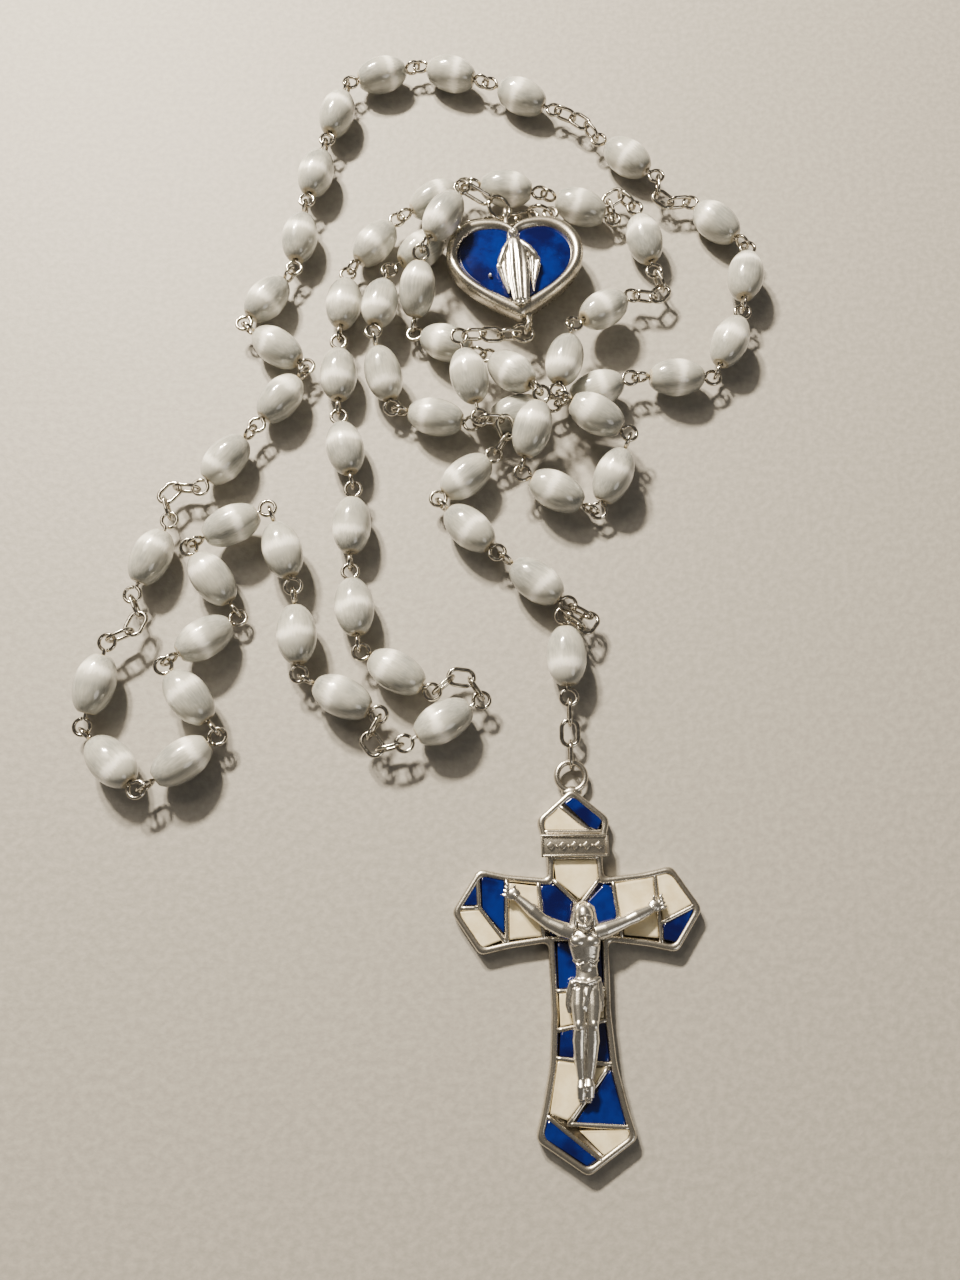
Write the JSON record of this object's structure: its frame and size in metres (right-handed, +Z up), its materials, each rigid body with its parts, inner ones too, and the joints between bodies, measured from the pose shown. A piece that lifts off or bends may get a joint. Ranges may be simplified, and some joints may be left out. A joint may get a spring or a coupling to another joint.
{
  "type": "rosary",
  "caption": "Rosary laid on a table: barrel beads on eye pins in five decades, cable chains at the larger beads, enamelled heart centrepiece and enamelled crucifix.",
  "frame": {"origin": "on the table under the middle of the layout", "axes": "+Z up off the table, +Y from the crucifix towards the far decades, +X to the right"},
  "size_m": [0.1106, 0.1888, 0.0116],
  "materials": {
    "glass_beads": "gloss",
    "nickel_wire": "polished",
    "cast_pewter": "antiqued",
    "polished_figure": "polished",
    "cobalt_enamel": "gloss",
    "ivory_enamel": "gloss"
  },
  "bodies": {
    "strand": {"decade_1_beads_1_to_2": "glass_beads", "decade_1_beads_3_to_4": "glass_beads", "decade_1_beads_5_to_6": "glass_beads", "decade_2_beads_1_to_2": "glass_beads", "decade_2_beads_3_to_4": "glass_beads", "decade_2_beads_5_to_6": "glass_beads", "decade_2_beads_7_to_9": "glass_beads", "decade_3_beads_2_to_3": "glass_beads", "decade_3_beads_4_to_5": "glass_beads", "decade_3_beads_6_to_7": "glass_beads", "decade_3_beads_8_to_10": "glass_beads", "decade_4_beads_1_to_3": "glass_beads", "decade_4_beads_4_to_6": "glass_beads", "decade_4_beads_7_to_10": "glass_beads", "decade_5_beads_1_to_3": "glass_beads", "decade_5_beads_4_to_6": "glass_beads", "decade_5_beads_7_to_10": "glass_beads", "our_father_pin_1": "nickel_wire", "our_father_pin_3": "nickel_wire", "our_father_pin_4": "nickel_wire", "pendant_pin_1": "nickel_wire", "heart_frame": "cast_pewter", "heart_enamel_left": "cobalt_enamel", "heart_enamel_right": "cobalt_enamel", "heart_figure": "polished_figure", "heart_ring_left": "nickel_wire", "heart_ring_right": "nickel_wire", "heart_chain": "nickel_wire", "heart_ring_bottom": "nickel_wire", "pendant_chain_1": "nickel_wire", "pendant_chain_2": "nickel_wire"},
    "right_arc_bead": {"decade_1_bead_7": "glass_beads"},
    "right_arc_pair": {"decade_1_beads_8_to_9": "glass_beads"},
    "right_arc_end_bead": {"decade_1_bead_10": "glass_beads"},
    "left_arc_bead": {"decade_2_bead_10": "glass_beads"},
    "left_arc_link": {"our_father_pin_2": "nickel_wire"},
    "left_arc_end_bead": {"decade_3_bead_1": "glass_beads"},
    "spin_bead_1": {"our_father_bead_1": "glass_beads"},
    "spin_bead_2": {"our_father_bead_2": "glass_beads"},
    "spin_bead_3": {"our_father_bead_3": "glass_beads"},
    "spin_bead_4": {"our_father_bead_4": "glass_beads"},
    "drop_bead_1": {"pendant_bead_1": "glass_beads"},
    "drop_bead_2": {"pendant_bead_2": "glass_beads"},
    "drop_bead_3": {"pendant_bead_3": "glass_beads"},
    "drop_bead_4": {"pendant_bead_4": "glass_beads"},
    "drop_bead_5": {"pendant_bead_5": "glass_beads"},
    "drop_pin_2": {"pendant_pin_2": "nickel_wire"},
    "drop_pin_3": {"pendant_pin_3": "nickel_wire"},
    "drop_pin_4": {"pendant_pin_4": "nickel_wire"},
    "drop_pin_5": {"pendant_pin_5": "nickel_wire"},
    "drop_chain_3": {"pendant_chain_3": "nickel_wire"},
    "drop_chain_4": {"pendant_chain_4": "nickel_wire"},
    "crucifix": {"crucifix_casting": "cast_pewter", "crucifix_enamel_head": "cobalt_enamel", "crucifix_enamel_left_arm": "ivory_enamel", "crucifix_enamel_right_arm": "ivory_enamel", "crucifix_enamel_stem": "cobalt_enamel", "crucifix_titulus": "cast_pewter", "crucifix_corpus": "polished_figure"}
  },
  "joints": [
    {"name": "right_arc_swing", "type": "hinge", "parent": "strand", "child": "right_arc_bead", "pos_m": [0.03169, 0.02549, 0.004], "axis": [0, 0, 1], "range_deg": [-6, 6]},
    {"name": "right_arc_fold", "type": "hinge", "parent": "right_arc_bead", "child": "right_arc_pair", "pos_m": [0.04569, 0.02599, 0.003], "axis": [0, 0, 1], "range_deg": [-9, 9]},
    {"name": "right_arc_close", "type": "hinge", "parent": "right_arc_pair", "child": "right_arc_end_bead", "pos_m": [0.05319, 0.05199, 0.0035], "axis": [0, 0, 1], "range_deg": [-10, 10]},
    {"name": "left_arc_swing", "type": "hinge", "parent": "strand", "child": "left_arc_bead", "pos_m": [-0.03081, 0.01649, 0.0035], "axis": [0, 0, 1], "range_deg": [-5, 5]},
    {"name": "left_arc_fold", "type": "hinge", "parent": "left_arc_bead", "child": "left_arc_link", "pos_m": [-0.03931, 0.00549, 0.003], "axis": [0, 0, 1], "range_deg": [-11, 11]},
    {"name": "left_arc_close", "type": "hinge", "parent": "left_arc_link", "child": "left_arc_end_bead", "pos_m": [-0.05081, -0.02051, 0.004], "axis": [0, 0, 1], "range_deg": [-12, 12]},
    {"name": "drop_swing_2", "type": "hinge", "parent": "strand", "child": "drop_pin_2", "pos_m": [0.00869, 0.01149, 0.0035], "axis": [0, 0, 1], "range_deg": [-3, 8]},
    {"name": "drop_swing_3", "type": "hinge", "parent": "drop_pin_2", "child": "drop_pin_3", "pos_m": [-0.00081, 0.00349, 0.003], "axis": [0, 0, 1], "range_deg": [-3, 8]},
    {"name": "drop_swing_4", "type": "hinge", "parent": "drop_pin_3", "child": "drop_pin_4", "pos_m": [0.00919, -0.00601, 0.0035], "axis": [0, 0, 1], "range_deg": [-3, 8]},
    {"name": "drop_chain_3_swing", "type": "hinge", "parent": "drop_pin_4", "child": "drop_chain_3", "pos_m": [0.02019, -0.01451, 0.003], "axis": [0, 0, 1], "range_deg": [-3, 15]},
    {"name": "drop_swing_5", "type": "hinge", "parent": "drop_chain_3", "child": "drop_pin_5", "pos_m": [0.01919, -0.01601, 0.0035], "axis": [0, 0, 1], "range_deg": [-3, 5]},
    {"name": "drop_chain_4_swing", "type": "hinge", "parent": "drop_pin_5", "child": "drop_chain_4", "pos_m": [0.01969, -0.02951, 0.003], "axis": [0, 0, 1], "range_deg": [-4, 20]},
    {"name": "crucifix_lift", "type": "hinge", "parent": "drop_chain_4", "child": "crucifix", "pos_m": [0.01976, -0.03881, 0.0015], "axis": [1, 0, 0], "range_deg": [-80, 0]},
    {"name": "bead_spin_1", "type": "hinge", "parent": "strand", "child": "spin_bead_1", "pos_m": [0.03294, 0.07149, 0.00325], "axis": [-0.7588, 0.6504, -0.0361], "continuous": true},
    {"name": "bead_spin_2", "type": "hinge", "parent": "left_arc_link", "child": "spin_bead_2", "pos_m": [-0.04581, -0.00651, 0.00325], "axis": [-0.3587, -0.9327, -0.0359], "continuous": true},
    {"name": "bead_spin_3", "type": "hinge", "parent": "strand", "child": "spin_bead_3", "pos_m": [0.00069, -0.03301, 0.00325], "axis": [0.8632, 0.5035, -0.036], "continuous": true},
    {"name": "bead_spin_4", "type": "hinge", "parent": "strand", "child": "spin_bead_4", "pos_m": [0.03519, 0.05374, 0.00325], "axis": [0.2168, -0.9755, -0.0361], "continuous": true},
    {"name": "drop_spin_1", "type": "hinge", "parent": "strand", "child": "drop_bead_1", "pos_m": [0.00444, 0.02349, 0.0075], "axis": [0.2268, -0.9718, -0.0648], "continuous": true},
    {"name": "drop_spin_2", "type": "hinge", "parent": "drop_pin_2", "child": "drop_bead_2", "pos_m": [0.00394, 0.00749, 0.00325], "axis": [-0.7643, -0.6436, -0.0402], "continuous": true},
    {"name": "drop_spin_3", "type": "hinge", "parent": "drop_pin_3", "child": "drop_bead_3", "pos_m": [0.00419, -0.00126, 0.00325], "axis": [0.7245, -0.6883, 0.0362], "continuous": true},
    {"name": "drop_spin_4", "type": "hinge", "parent": "drop_pin_4", "child": "drop_bead_4", "pos_m": [0.01469, -0.01026, 0.00325], "axis": [0.7908, -0.6111, -0.0359], "continuous": true},
    {"name": "drop_spin_5", "type": "hinge", "parent": "drop_pin_5", "child": "drop_bead_5", "pos_m": [0.01944, -0.02276, 0.00325], "axis": [0.037, -0.9986, -0.037], "continuous": true}
  ],
  "couplings": [
    {"joint": "right_arc_fold", "follows": "right_arc_swing", "ratio": -1.45},
    {"joint": "right_arc_close", "follows": "right_arc_swing", "ratio": 1.568},
    {"joint": "left_arc_fold", "follows": "left_arc_swing", "ratio": -2.058},
    {"joint": "left_arc_close", "follows": "left_arc_swing", "ratio": 2.282}
  ]
}
